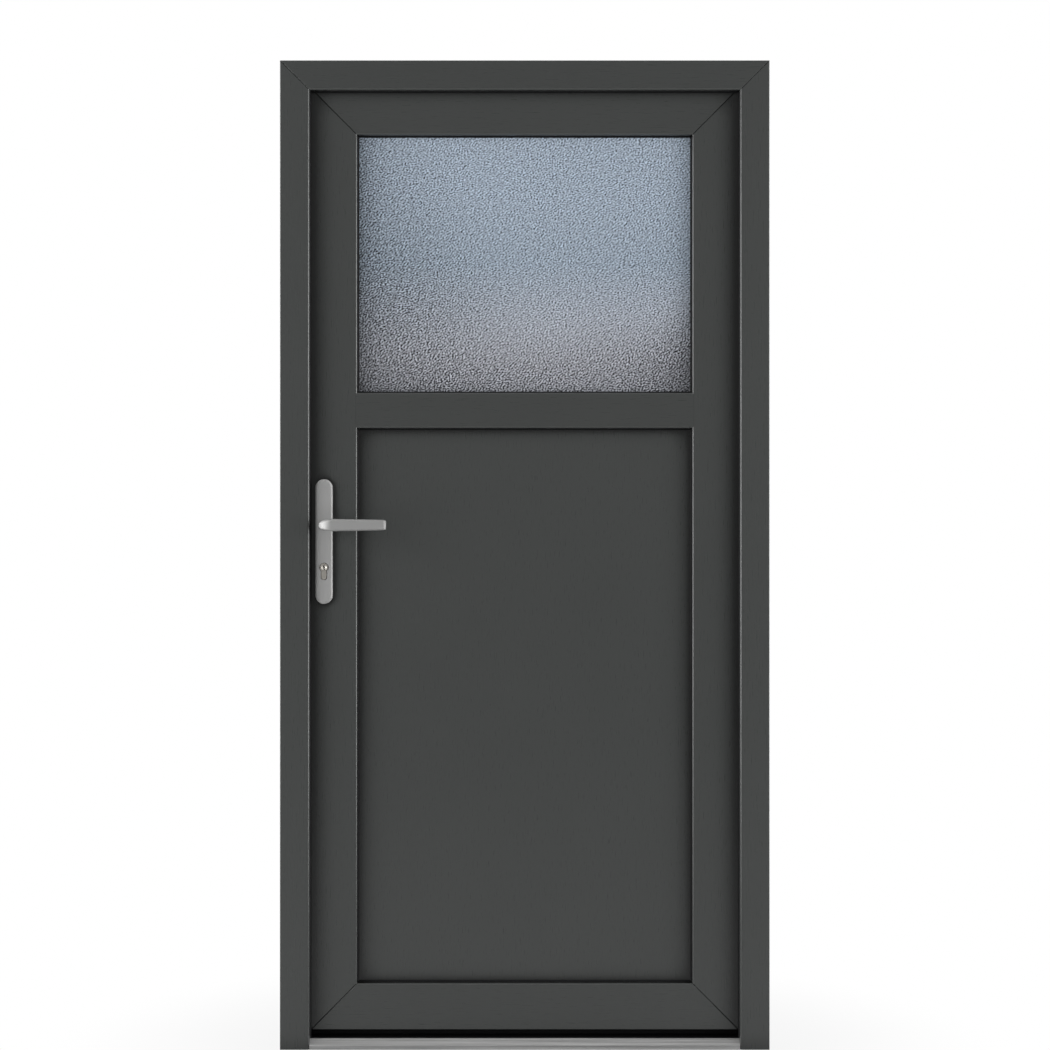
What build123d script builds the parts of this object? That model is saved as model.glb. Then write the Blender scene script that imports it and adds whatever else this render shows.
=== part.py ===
from build123d import *
import os

# Side entrance door: a mitred plastic frame, a leaf that opens inward with a patterned glass light over a
# plain infill panel, lever handles on long plates and a flat aluminium threshold.
# Millimetres. +X is to the right seen from outside, +Y runs from outside to inside, +Z is up.
# The origin is the centre of the threshold's underside.
# Sections are drawn as (outward from an opening's edge, depth from the frame's outside face).

# Frame
FRAME_WIDTH = 980.0
FRAME_HEIGHT = 1980.0
FRAME_DEPTH = 70.0
STOP_FACE = 59.0
STOP_THICKNESS = 18.0
REBATE_WIDTH = 20.5
FRAME_EDGE_RADIUS = 5.0
BACK_EDGE_RADIUS = 3.0
OUTER_EDGE_RADIUS = 1.5
ANCHOR_GROOVE_WIDTH = 8.0
ANCHOR_GROOVE_DEPTH = 4.0
ANCHOR_GROOVE_INSET = 12.0
WELD_GROOVE = 1.6

# Fixing holes through the jambs, in an outer and an inner pair
FIXING_RADIUS = 5.25
FIXING_FROM_HEAD = 240.0
FIXING_FROM_FOOT = 200.0
FIXING_INNER_SPACING = 540.0

# Threshold
THRESHOLD_HEIGHT = 20.0
NOSE_HEIGHT = 8.5
NOSE_TREAD = 4.0
REAR_LIP = 6.0
THRESHOLD_FLOOR = 4.0
INSERT_DROP = 1.0
THRESHOLD_RADIUS = 1.5

# Leaf
RUNNING_GAP = 5.0
SIDE_GAP = 13.5
HEAD_GAP = 5.5
FOOT_HEIGHT = 35.5
LEAF_DEPTH = 70.0
RAIL_WIDTH = 101.0
FOOT_RAIL_WIDTH = 93.0
OVERLAP_WIDTH = 20.0
LEAF_EDGE_RADIUS = 4.0
INSIDE_EDGE_RADIUS = 3.0
MID_RAIL_FOOT = 1245.0
MID_RAIL_HEIGHT = 71.5
COPE_DEPTH = 3.0
HARDWARE_GROOVE_WIDTH = 12.0
HARDWARE_GROOVE_DEPTH = 9.0

# Glazing
GLAZING_REBATE = 22.0
GLAZING_LEG = 17.0
EDGE_PLAY = 5.0
GASKET_THICKNESS = 3.0
GASKET_LIP = 3.0
GASKET_WIDTH = 13.0
UNIT_THICKNESS = 24.0
PANE_THICKNESS = 4.0
SPACER_WIDTH = 10.0
SPACER_INSET = 1.0
BEAD_EDGE = 1.0
BEAD_SLOPE = 7.0
BEAD_HEEL = 4.0

# Seals
SEAL_CLEARANCE = 0.4
SEAL_LIP = 2.0
SEAL_WIDTH = 14.0
OVERLAP_SEAL_WIDTH = 4.0
OVERLAP_SEAL_INSET = 2.0
FOOT_SEAL_WIDTH = 12.0
FOOT_SEAL_CLEARANCE = 1.5
STRIP_GAP = 0.3

# Lock
LEVER_HEIGHT = 1050.0
BACKSET = 35.0
CYLINDER_DROP = 85.0
FACEPLATE_WIDTH = 16.0
FACEPLATE_LENGTH = 270.0
FACEPLATE_THICKNESS = 3.0
FACEPLATE_FIT = 0.2
LATCH_RISE = 16.0
LATCH_HEIGHT = 32.0
LATCH_THICKNESS = 11.6
LATCH_THROW = 6.0
DEAD_BOLT_DROP = 66.0
DEAD_BOLT_HEIGHT = 38.0
BOLT_FIT = 0.2
STRIKE_WIDTH = 20.0
STRIKE_LENGTH = 190.0
STRIKE_WINDOW_WIDTH = 14.0
STRIKE_WINDOW_MARGIN = 3.0
STRIKE_POCKET = 14.0
CYLINDER_RADIUS = 8.5
CYLINDER_HEIGHT = 33.0
CYLINDER_WEB = 10.0
CYLINDER_PROUD = 1.0
CYLINDER_CLEARANCE = 0.8
PLUG_RADIUS = 6.7
PLUG_LENGTH = 30.0
PLUG_CLEARANCE = 0.05
PLUG_PROUD = 0.5
KEYWAY_WIDTH = 2.2
KEYWAY_HEIGHT = 9.0
KEY_DISH_RADIUS = 5.6
KEY_DISH_DEPTH = 1.6

# Handles
PLATE_WIDTH = 34.0
PLATE_ABOVE = 92.0
PLATE_BELOW = 158.0
PLATE_THICKNESS = 9.0
PLATE_BEVEL_WIDTH = 2.8
PLATE_BEVEL_DEPTH = 1.2
COLLAR_RADIUS = 10.5
COLLAR_PROUD = 3.0
COLLAR_CLEARANCE = 0.1
NECK_SIZE = 17.0
LEVER_PROJECTION = 46.0
LEVER_BEND = 21.0
LEVER_LENGTH = 127.0
GRIP_THICKNESS = 11.0
GRIP_ROOT_HEIGHT = 24.5
GRIP_TIP_HEIGHT = 21.0
GRIP_ROUND = 4.0
TIP_BEVEL = 4.5
TIP_EDGE = 5.0
TIP_DROP = 1.5
BEND_STEPS = 4
SPINDLE_SIZE = 8.0
SPINDLE_HOLE_RADIUS = 8.0
SPINDLE_GRIP = 6.0

# Hinges
HINGE_FROM_END = 240.0
HINGE_INSET = 17.0
HINGE_SET_BACK = 5.0
KNUCKLE_RADIUS = 10.0
PIN_RADIUS = 5.0
PIN_CLEARANCE = 0.05
LEAF_KNUCKLE = 42.0
FRAME_KNUCKLE = 28.0
KNUCKLE_GAP = 0.5
FRAME_WING_WIDTH = 22.0
FRAME_WING_THICKNESS = 3.0
FRAME_WING_NECK = 15.0
LEAF_WING_WIDTH = 38.0
LEAF_WING_THICKNESS = 4.0
LEAF_WING_INSET = 2.0
WING_CORNER = 5.0

# Sizes that follow
half_width = FRAME_WIDTH / 2
sight = (-half_width + STOP_FACE, half_width - STOP_FACE, 0.0, FRAME_HEIGHT - STOP_FACE)
rebate_face = STOP_FACE - REBATE_WIDTH
leaf_front = STOP_THICKNESS + RUNNING_GAP
leaf_back = leaf_front + LEAF_DEPTH
leaf_middle = (leaf_front + leaf_back) / 2
overlap_front = FRAME_DEPTH + RUNNING_GAP
leaf_half_width = half_width - rebate_face - SIDE_GAP
light_half_width = leaf_half_width - RAIL_WIDTH
light_top = FRAME_HEIGHT - rebate_face - HEAD_GAP - RAIL_WIDTH
light_foot = FOOT_HEIGHT + FOOT_RAIL_WIDTH
mid_rail_top = MID_RAIL_FOOT + MID_RAIL_HEIGHT
leaf_light = (-light_half_width, light_half_width, light_foot, light_top)
glass_light = (-light_half_width, light_half_width, mid_rail_top, light_top)
panel_light = (-light_half_width, light_half_width, light_foot, MID_RAIL_FOOT)
leg_back = leaf_front + GLAZING_LEG
unit_front = leg_back + GASKET_THICKNESS
unit_back = unit_front + UNIT_THICKNESS
bead_front = unit_back + GASKET_THICKNESS
unit_overlap = GLAZING_REBATE - EDGE_PLAY
nose_back = STOP_THICKNESS
lip_front = FRAME_DEPTH - REAR_LIP
fixing_outer_spacing = FRAME_HEIGHT - FIXING_FROM_HEAD - FIXING_FROM_FOOT
fixing_middle = FIXING_FROM_FOOT + fixing_outer_spacing / 2
lever_x = -leaf_half_width + BACKSET
cylinder_z = LEVER_HEIGHT - CYLINDER_DROP
hinge_x = half_width - HINGE_INSET
hinge_depth = leaf_back - HINGE_SET_BACK
hinge_heights = {"top": FRAME_HEIGHT - HINGE_FROM_END, "middle": FRAME_HEIGHT / 2, "bottom": HINGE_FROM_END}
faceplate_z = LEVER_HEIGHT - DEAD_BOLT_DROP / 2 + LATCH_RISE / 2
latch_z = LEVER_HEIGHT + LATCH_RISE
dead_bolt_z = LEVER_HEIGHT - DEAD_BOLT_DROP
FAR = 4 * FRAME_HEIGHT

OUTWARD = {"left": (-1, 0), "right": (1, 0), "top": (0, 1), "bottom": (0, -1)}


def y_at(depth):
    return depth - FRAME_DEPTH / 2


def section(points, rounds=()):
    """A closed outline through the points; each entry of rounds is a corner and its radius."""
    face = make_face(Polyline(*points, close=True))
    for corner, radius in rounds:
        vertex = face.vertices().sort_by_distance((corner[0], corner[1], 0))[0]
        face = fillet(vertex, radius)
    return face


def block(x0, x1, depth0, depth1, z0, z1):
    size = Box(x1 - x0, depth1 - depth0, z1 - z0)
    return Pos((x0 + x1) / 2, y_at((depth0 + depth1) / 2), (z0 + z1) / 2) * size


def bar(side, opening, profile, reach, square_foot=False, gap=0.0):
    """One side of a mitred surround of an opening (x0, x1, z0, z1)."""
    x0, x1, z0, z1 = opening
    out_x, out_z = OUTWARD[side]
    if out_x:
        edge = x0 if out_x < 0 else x1
        ends = [(edge, z0, -1), (edge, z1, 1)]
        length = z1 - z0
    else:
        edge = z0 if out_z < 0 else z1
        ends = [(x0, edge, -1), (x1, edge, 1)]
        length = x1 - x0
    middle = ((ends[0][0] + ends[1][0]) / 2, y_at(0), (ends[0][1] + ends[1][1]) / 2)
    out = Vector(out_x, 0, out_z)
    plane = Plane(origin=middle, x_dir=out, z_dir=out.cross(Vector(0, 1, 0)))
    solid = extrude(plane * profile, amount=length / 2 + reach, both=True)
    outline = []
    for x, z, sign in ends:
        spread = 0 if square_foot and sign < 0 else sign
        along_x = 0 if out_x else 1
        along_z = 1 - along_x
        start_x = x - sign * gap * along_x - out_x * reach
        start_z = z - sign * gap * along_z - out_z * reach
        near = (start_x - spread * reach * along_x, start_z - spread * reach * along_z)
        far_x = start_x + 2 * reach * out_x + spread * reach * along_x
        far_z = start_z + 2 * reach * out_z + spread * reach * along_z
        outline.append((near, (far_x, far_z)))
    corners = [outline[0][0], outline[0][1], outline[1][1], outline[1][0]]
    region = extrude(Plane.XZ * make_face(Polyline(*corners, close=True)), amount=FAR, both=True)
    return solid & region


def weld_groove(x, z, sign_x, sign_z, depth, reach):
    """A fine vee along a mitre on one face, running out from an opening's corner."""
    run = Vector(sign_x, 0, sign_z).normalized()
    plane = Plane(origin=(x, y_at(depth), z), x_dir=run, z_dir=run.cross(Vector(0, 1, 0)))
    cutter = Box(reach * 2, WELD_GROOVE, WELD_GROOVE, align=(Align.MIN, Align.CENTER, Align.CENTER))
    return plane * Pos(-WELD_GROOVE * 4, 0, 0) * Rot(45, 0, 0) * cutter


def cylinder_along_y(x, z, radius, depth0, depth1):
    base = Plane(origin=(x, y_at(depth0), z), x_dir=(1, 0, 0), z_dir=(0, 1, 0))
    return extrude(base * Circle(radius), amount=depth1 - depth0)


def through_y(profile, x, z, depth0, depth1):
    """Extrude a profile drawn as (right, up) seen from outside, from depth0 inward to depth1."""
    base = Plane(origin=(x, y_at(depth1), z), x_dir=(1, 0, 0), z_dir=(0, -1, 0))
    return extrude(base * profile, amount=depth1 - depth0)


def lock_profile(margin):
    """Outline of the profile cylinder about its plug axis, grown by a margin."""
    foot = CYLINDER_HEIGHT - CYLINDER_RADIUS - CYLINDER_WEB / 2
    web = Pos(0, -foot / 2) * Rectangle(CYLINDER_WEB + 2 * margin, foot)
    return Circle(CYLINDER_RADIUS + margin) + web + Pos(0, -foot) * Circle(CYLINDER_WEB / 2 + margin)


def mirrored_inside(shape):
    """The same piece on the inside of the leaf."""
    return mirror(shape, about=Plane(origin=(0, y_at(leaf_middle), 0), z_dir=(0, 1, 0)))


nodes = {}

# Frame: two jambs to the floor and a head, mitred at the top corners
groove0 = ANCHOR_GROOVE_INSET
groove1 = groove0 + ANCHOR_GROOVE_WIDTH
frame_profile = section(
    [
        (0, 0),
        (STOP_FACE, 0),
        (STOP_FACE, groove0),
        (STOP_FACE - ANCHOR_GROOVE_DEPTH, groove0),
        (STOP_FACE - ANCHOR_GROOVE_DEPTH, groove1),
        (STOP_FACE, groove1),
        (STOP_FACE, FRAME_DEPTH - groove1),
        (STOP_FACE - ANCHOR_GROOVE_DEPTH, FRAME_DEPTH - groove1),
        (STOP_FACE - ANCHOR_GROOVE_DEPTH, FRAME_DEPTH - groove0),
        (STOP_FACE, FRAME_DEPTH - groove0),
        (STOP_FACE, FRAME_DEPTH),
        (REBATE_WIDTH, FRAME_DEPTH),
        (REBATE_WIDTH, STOP_THICKNESS),
        (0, STOP_THICKNESS),
    ],
    [
        ((0, 0), FRAME_EDGE_RADIUS),
        ((STOP_FACE, 0), OUTER_EDGE_RADIUS),
        ((REBATE_WIDTH, FRAME_DEPTH), BACK_EDGE_RADIUS),
    ],
)
jambs = {side: bar(side, sight, frame_profile, STOP_FACE + 1, square_foot=True) for side in ("left", "right")}
head = bar("top", sight, frame_profile, STOP_FACE + 1)
for sign, side in ((-1, "left"), (1, "right")):
    for depth in (0, FRAME_DEPTH):
        vee = weld_groove(sign * sight[1], sight[3], sign, 1, depth, STOP_FACE)
        jambs[side] -= vee
        head -= vee
    fixing_depth = (STOP_THICKNESS + FRAME_DEPTH) / 2
    for spacing in (fixing_outer_spacing, FIXING_INNER_SPACING):
        for z in (fixing_middle - spacing / 2, fixing_middle + spacing / 2):
            axis = Plane(origin=(sign * half_width, y_at(fixing_depth), z), z_dir=(-sign, 0, 0))
            jambs[side] -= extrude(axis * Circle(FIXING_RADIUS), amount=STOP_FACE)

# Strike plate, let in flush with the lock jamb's rebate face
strike_x = -half_width + rebate_face
strike_z = (latch_z + dead_bolt_z) / 2
strike_edge = STRIKE_WIDTH / 2
strike_pocket = block(
    strike_x - FACEPLATE_THICKNESS, strike_x + 1, leaf_middle - strike_edge, leaf_middle + strike_edge,
    strike_z - STRIKE_LENGTH / 2, strike_z + STRIKE_LENGTH / 2,
)
jambs["left"] -= strike_pocket
strike = block(
    strike_x - FACEPLATE_THICKNESS, strike_x, leaf_middle - strike_edge, leaf_middle + strike_edge,
    strike_z - STRIKE_LENGTH / 2, strike_z + STRIKE_LENGTH / 2,
)
for z, height in ((latch_z, LATCH_HEIGHT), (dead_bolt_z, DEAD_BOLT_HEIGHT)):
    window = block(
        strike_x - STRIKE_POCKET, strike_x + 1,
        leaf_middle - STRIKE_WINDOW_WIDTH / 2, leaf_middle + STRIKE_WINDOW_WIDTH / 2,
        z - height / 2 - STRIKE_WINDOW_MARGIN, z + height / 2 + STRIKE_WINDOW_MARGIN,
    )
    jambs["left"] -= window
    strike -= window
nodes["frame_left_jamb"] = jambs["left"]
nodes["frame_right_jamb"] = jambs["right"]
nodes["frame_head"] = head
nodes["strike_plate"] = strike

# Threshold: sloped nose between the jambs, a tray with a dark insert and a low lip behind
sill_plane = Plane(origin=(0, y_at(0), 0), x_dir=(0, 1, 0), z_dir=(1, 0, 0))
sill_profile = section(
    [
        (0, 0),
        (0, NOSE_HEIGHT),
        (nose_back - NOSE_TREAD, THRESHOLD_HEIGHT),
        (nose_back, THRESHOLD_HEIGHT),
        (nose_back, THRESHOLD_FLOOR),
        (lip_front, THRESHOLD_FLOOR),
        (lip_front, THRESHOLD_HEIGHT),
        (FRAME_DEPTH, THRESHOLD_HEIGHT),
        (FRAME_DEPTH, 0),
    ],
    [
        ((0, NOSE_HEIGHT), THRESHOLD_RADIUS),
        ((nose_back - NOSE_TREAD, THRESHOLD_HEIGHT), THRESHOLD_RADIUS),
        ((FRAME_DEPTH, THRESHOLD_HEIGHT), THRESHOLD_RADIUS),
    ],
)
sill_half = half_width - rebate_face
sill = extrude(sill_plane * sill_profile, amount=sill_half, both=True)
for sign in (-1, 1):
    inner = sign * sight[1]
    outer = sign * (sill_half + 1)
    sill -= block(min(inner, outer), max(inner, outer), -1, STOP_THICKNESS, -1, THRESHOLD_HEIGHT + 1)
nodes["threshold"] = sill
nodes["threshold_insert"] = block(
    -sill_half, sill_half, nose_back, lip_front, THRESHOLD_FLOOR, THRESHOLD_HEIGHT - INSERT_DROP
)

# Frame seal: three strips on the back of the stop, with a lip in the sight line
seal_back = leaf_front - SEAL_CLEARANCE
seal_profile = section(
    [
        (-SEAL_LIP, seal_back),
        (-SEAL_LIP, seal_back - 1.2),
        (0, STOP_THICKNESS),
        (SEAL_WIDTH - SEAL_LIP, STOP_THICKNESS),
        (SEAL_WIDTH - SEAL_LIP, seal_back),
    ]
)
seal_opening = (sight[0], sight[1], THRESHOLD_HEIGHT + STRIP_GAP, sight[3])
nodes["frame_seal"] = [
    bar("left", seal_opening, seal_profile, SEAL_WIDTH, square_foot=True, gap=STRIP_GAP),
    bar("right", seal_opening, seal_profile, SEAL_WIDTH, square_foot=True, gap=STRIP_GAP),
    bar("top", seal_opening, seal_profile, SEAL_WIDTH, gap=STRIP_GAP),
]


# Leaf: four mitred members and a mid rail coped to the stiles
def leaf_profile(width):
    groove_mouth = FACEPLATE_WIDTH / 2 + FACEPLATE_FIT
    groove_half = HARDWARE_GROOVE_WIDTH / 2
    ledge = width - FACEPLATE_THICKNESS
    floor = ledge - HARDWARE_GROOVE_DEPTH
    return section(
        [
            (0, leaf_front),
            (width, leaf_front),
            (width, leaf_middle - groove_mouth),
            (ledge, leaf_middle - groove_mouth),
            (ledge, leaf_middle - groove_half),
            (floor, leaf_middle - groove_half),
            (floor, leaf_middle + groove_half),
            (ledge, leaf_middle + groove_half),
            (ledge, leaf_middle + groove_mouth),
            (width, leaf_middle + groove_mouth),
            (width, overlap_front),
            (width + OVERLAP_WIDTH, overlap_front),
            (width + OVERLAP_WIDTH, leaf_back),
            (GLAZING_REBATE, leaf_back),
            (GLAZING_REBATE, leg_back),
            (0, leg_back),
        ],
        [
            ((0, leaf_front), LEAF_EDGE_RADIUS),
            ((width, leaf_front), OUTER_EDGE_RADIUS),
            ((width + OVERLAP_WIDTH, leaf_back), INSIDE_EDGE_RADIUS),
        ],
    )


leaf_reach = RAIL_WIDTH + OVERLAP_WIDTH + 1
members = {}
for side in OUTWARD:
    width = FOOT_RAIL_WIDTH if side == "bottom" else RAIL_WIDTH
    members[side] = bar(side, leaf_light, leaf_profile(width), leaf_reach)
for side in ("left", "right"):
    members[side] -= block(-half_width, half_width, 0, overlap_front, -leaf_reach, FOOT_HEIGHT)
    members[side] -= block(
        -half_width, half_width, overlap_front, leaf_back + 1, -leaf_reach, FOOT_HEIGHT - OVERLAP_WIDTH
    )
for sign_x, upright in ((-1, "left"), (1, "right")):
    for sign_z, rail, z in ((-1, "bottom", light_foot), (1, "top", light_top)):
        for depth in (leaf_front, leaf_back):
            vee = weld_groove(sign_x * light_half_width, z, sign_x, sign_z, depth, leaf_reach)
            members[upright] -= vee
            members[rail] -= vee

mid_front = section(
    [
        (MID_RAIL_FOOT, leaf_front),
        (mid_rail_top, leaf_front),
        (mid_rail_top, leg_back),
        (MID_RAIL_FOOT, leg_back),
    ],
    [((MID_RAIL_FOOT, leaf_front), LEAF_EDGE_RADIUS), ((mid_rail_top, leaf_front), LEAF_EDGE_RADIUS)],
)
rail_plane = Plane(origin=(0, y_at(0), 0), x_dir=(0, 0, 1), z_dir=(-1, 0, 0))
mid_rail = extrude(rail_plane * mid_front, amount=light_half_width + COPE_DEPTH, both=True)
mid_rail += block(
    -light_half_width - GLAZING_REBATE, light_half_width + GLAZING_REBATE, leg_back, leaf_back,
    MID_RAIL_FOOT + GLAZING_REBATE, mid_rail_top - GLAZING_REBATE,
)
mid_rail = mid_rail - members["left"] - members["right"]

# Bores in the lock stile for the spindle and the profile cylinder
spindle_bore = cylinder_along_y(lever_x, LEVER_HEIGHT, SPINDLE_HOLE_RADIUS, leaf_front - 1, leaf_back + 1)
cylinder_bore = through_y(
    lock_profile(CYLINDER_CLEARANCE), lever_x, cylinder_z, leaf_front - 1, leaf_back + 1
)
nodes["lock_stile"] = members["left"] - spindle_bore - cylinder_bore
nodes["hinge_stile"] = members["right"]
nodes["top_rail"] = members["top"]
nodes["bottom_rail"] = members["bottom"]
nodes["mid_rail"] = mid_rail


# Glazing of the two lights
def filling(opening, depth0, depth1):
    x0, x1, z0, z1 = opening
    grow = unit_overlap
    return block(x0 - grow, x1 + grow, depth0, depth1, z0 - grow, z1 + grow)


outer_gasket = section(
    [
        (-GASKET_LIP, unit_front),
        (-GASKET_LIP, unit_front - 1),
        (-0.5, leg_back),
        (GASKET_WIDTH - GASKET_LIP, leg_back),
        (GASKET_WIDTH - GASKET_LIP, unit_front),
    ]
)
inner_gasket = section(
    [
        (-GASKET_LIP + BEAD_EDGE, unit_back),
        (GASKET_WIDTH - GASKET_LIP, unit_back),
        (GASKET_WIDTH - GASKET_LIP, bead_front),
        (BEAD_EDGE, bead_front),
        (-GASKET_LIP + BEAD_EDGE, bead_front - 1.5),
    ]
)
bead_profile = section(
    [
        (BEAD_EDGE, bead_front),
        (GLAZING_REBATE, bead_front),
        (GLAZING_REBATE, leaf_back),
        (BEAD_EDGE + BEAD_SLOPE, leaf_back),
        (BEAD_EDGE, bead_front + BEAD_HEEL),
    ],
    [((BEAD_EDGE + BEAD_SLOPE, leaf_back), INSIDE_EDGE_RADIUS)],
)
for name, opening in (("glass", glass_light), ("panel", panel_light)):
    for side in OUTWARD:
        nodes[f"{name}_bead_{side}"] = bar(side, opening, bead_profile, GLAZING_REBATE + 1)
    nodes[f"{name}_outer_gasket"] = [
        bar(side, opening, outer_gasket, GASKET_WIDTH, gap=STRIP_GAP) for side in OUTWARD
    ]
    nodes[f"{name}_inner_gasket"] = [
        bar(side, opening, inner_gasket, GASKET_WIDTH, gap=STRIP_GAP) for side in OUTWARD
    ]
nodes["infill_panel"] = filling(panel_light, unit_front, unit_back)
nodes["glass_outer_pane"] = filling(glass_light, unit_front, unit_front + PANE_THICKNESS)
nodes["glass_inner_pane"] = filling(glass_light, unit_back - PANE_THICKNESS, unit_back)
spacer_out = unit_overlap - SPACER_INSET
spacer = block(
    -light_half_width - spacer_out, light_half_width + spacer_out,
    unit_front + PANE_THICKNESS, unit_back - PANE_THICKNESS,
    mid_rail_top - spacer_out, light_top + spacer_out,
)
spacer_in = spacer_out - SPACER_WIDTH
nodes["glass_spacer"] = spacer - block(
    -light_half_width - spacer_in, light_half_width + spacer_in, unit_front, unit_back,
    mid_rail_top - spacer_in, light_top + spacer_in,
)


# Leaf seals: four strips facing the frame's inside face and one under the leaf
def overlap_seal(width):
    outer = width + OVERLAP_WIDTH - OVERLAP_SEAL_INSET
    return section(
        [
            (outer - OVERLAP_SEAL_WIDTH, FRAME_DEPTH + SEAL_CLEARANCE),
            (outer, FRAME_DEPTH + SEAL_CLEARANCE),
            (outer, overlap_front),
            (outer - OVERLAP_SEAL_WIDTH, overlap_front),
        ]
    )


strips = [
    bar(side, leaf_light, overlap_seal(RAIL_WIDTH), leaf_reach, gap=STRIP_GAP)
    for side in ("left", "right", "top")
]
foot_strip = bar("bottom", leaf_light, overlap_seal(FOOT_RAIL_WIDTH), leaf_reach, gap=STRIP_GAP)
seal_foot = FOOT_HEIGHT - OVERLAP_WIDTH + OVERLAP_SEAL_INSET
trim = block(-half_width, half_width, 0, leaf_back, -leaf_reach, seal_foot)
nodes["overlap_seal"] = [strip - trim for strip in strips] + [foot_strip]
nodes["bottom_seal"] = block(
    -leaf_half_width + 1, leaf_half_width - 1,
    leaf_middle - FOOT_SEAL_WIDTH / 2, leaf_middle + FOOT_SEAL_WIDTH / 2,
    THRESHOLD_HEIGHT + FOOT_SEAL_CLEARANCE, FOOT_HEIGHT,
)

# Lock on the edge of the lock stile: faceplate, latch nose and withdrawn dead bolt
edge_x = -leaf_half_width
edge_plane = Plane(origin=(edge_x, y_at(leaf_middle), faceplate_z), x_dir=(0, 1, 0), z_dir=(1, 0, 0))
faceplate = extrude(
    edge_plane * SlotOverall(FACEPLATE_LENGTH, FACEPLATE_WIDTH, rotation=90), amount=FACEPLATE_THICKNESS
)
bolt_half = LATCH_THICKNESS / 2
groove_floor = edge_x + FACEPLATE_THICKNESS + HARDWARE_GROOVE_DEPTH
for z, height in ((latch_z, LATCH_HEIGHT), (dead_bolt_z, DEAD_BOLT_HEIGHT)):
    faceplate -= block(
        edge_x - 1, groove_floor, leaf_middle - bolt_half - BOLT_FIT, leaf_middle + bolt_half + BOLT_FIT,
        z - height / 2 - BOLT_FIT, z + height / 2 + BOLT_FIT,
    )
nodes["lock_faceplate"] = faceplate
nose_x = edge_x - LATCH_THROW
latch_plane = Plane(origin=(0, 0, latch_z), x_dir=(1, 0, 0), z_dir=(0, 0, 1))
latch_outline = section(
    [
        (groove_floor, y_at(leaf_middle - bolt_half)),
        (groove_floor, y_at(leaf_middle + bolt_half)),
        (edge_x, y_at(leaf_middle + bolt_half)),
        (nose_x, y_at(leaf_middle - bolt_half / 3)),
        (nose_x, y_at(leaf_middle - bolt_half)),
    ]
)
nodes["latch_bolt"] = extrude(latch_plane * latch_outline, amount=LATCH_HEIGHT / 2, both=True)
nodes["dead_bolt"] = block(
    edge_x, groove_floor, leaf_middle - bolt_half, leaf_middle + bolt_half,
    dead_bolt_z - DEAD_BOLT_HEIGHT / 2, dead_bolt_z + DEAD_BOLT_HEIGHT / 2,
)

# Profile cylinder with a turning plug outside and a fixed one inside
plate_front = leaf_front - PLATE_THICKNESS
cylinder_front = plate_front - CYLINDER_PROUD
cylinder_back = leaf_back + PLATE_THICKNESS + CYLINDER_PROUD
cylinder = through_y(lock_profile(0), lever_x, cylinder_z, cylinder_front, cylinder_back)
plug_bore = cylinder_along_y(
    lever_x, cylinder_z, PLUG_RADIUS + PLUG_CLEARANCE, cylinder_front - 1, cylinder_front + PLUG_LENGTH
)
nodes["lock_cylinder"] = cylinder - plug_bore - mirrored_inside(plug_bore)
plug_face = cylinder_front - PLUG_PROUD
plug_end = cylinder_front + PLUG_LENGTH - PLUG_PROUD
plug = cylinder_along_y(lever_x, cylinder_z, PLUG_RADIUS, plug_face, plug_end)
step = KEYWAY_WIDTH / 3
keyway = Pos(0, KEYWAY_HEIGHT / 4) * Rectangle(KEYWAY_WIDTH, KEYWAY_HEIGHT / 2 + step)
keyway += Pos(step, -KEYWAY_HEIGHT / 4) * Rectangle(KEYWAY_WIDTH, KEYWAY_HEIGHT / 2 + step)
plug -= through_y(keyway, lever_x, cylinder_z, plug_face - 1, cylinder_front + PLUG_LENGTH * 0.8)
dish_plane = Plane(origin=(lever_x, y_at(plug_face), cylinder_z), x_dir=(1, 0, 0), z_dir=(0, 1, 0))
plug -= dish_plane * Cone(
    KEY_DISH_RADIUS, KEYWAY_WIDTH, KEY_DISH_DEPTH, align=(Align.CENTER, Align.CENTER, Align.MIN)
)
nodes["key_plug"] = plug
nodes["inner_plug"] = mirrored_inside(plug)

# Handle plates with a bevelled edge
plate_length = PLATE_ABOVE + PLATE_BELOW
plate_outline = SlotOverall(plate_length, PLATE_WIDTH, rotation=90)
plate_z = LEVER_HEIGHT + (PLATE_ABOVE - PLATE_BELOW) / 2
plate = through_y(plate_outline, lever_x, plate_z, plate_front, leaf_front)
plate_face = plate.faces().sort_by(Axis.Y)[0]
plate = chamfer(plate_face.edges(), PLATE_BEVEL_WIDTH, PLATE_BEVEL_DEPTH, reference=plate_face)
plate -= cylinder_along_y(
    lever_x, LEVER_HEIGHT, COLLAR_RADIUS + COLLAR_CLEARANCE, plate_front - 1, leaf_front + 1
)
plate -= through_y(
    lock_profile(CYLINDER_CLEARANCE), lever_x, cylinder_z, plate_front - 1, leaf_front + 1
)
nodes["outer_handle_plate"] = plate
nodes["inner_handle_plate"] = mirrored_inside(plate)

# Lever: a round collar in the plate, a neck that bends and flattens into a band grip
collar_front = plate_front - COLLAR_PROUD
lever = cylinder_along_y(lever_x, LEVER_HEIGHT, COLLAR_RADIUS, collar_front, leaf_front)
grip_depth = plate_front - LEVER_PROJECTION
bend_start = grip_depth + LEVER_BEND


def lever_section(x, depth, run, thickness, height, radius):
    origin = (x, y_at(depth), LEVER_HEIGHT)
    plane = Plane(origin=origin, x_dir=(run[1], -run[0], 0), z_dir=(run[0], run[1], 0))
    return plane * RectangleRounded(thickness, height, radius)


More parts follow.
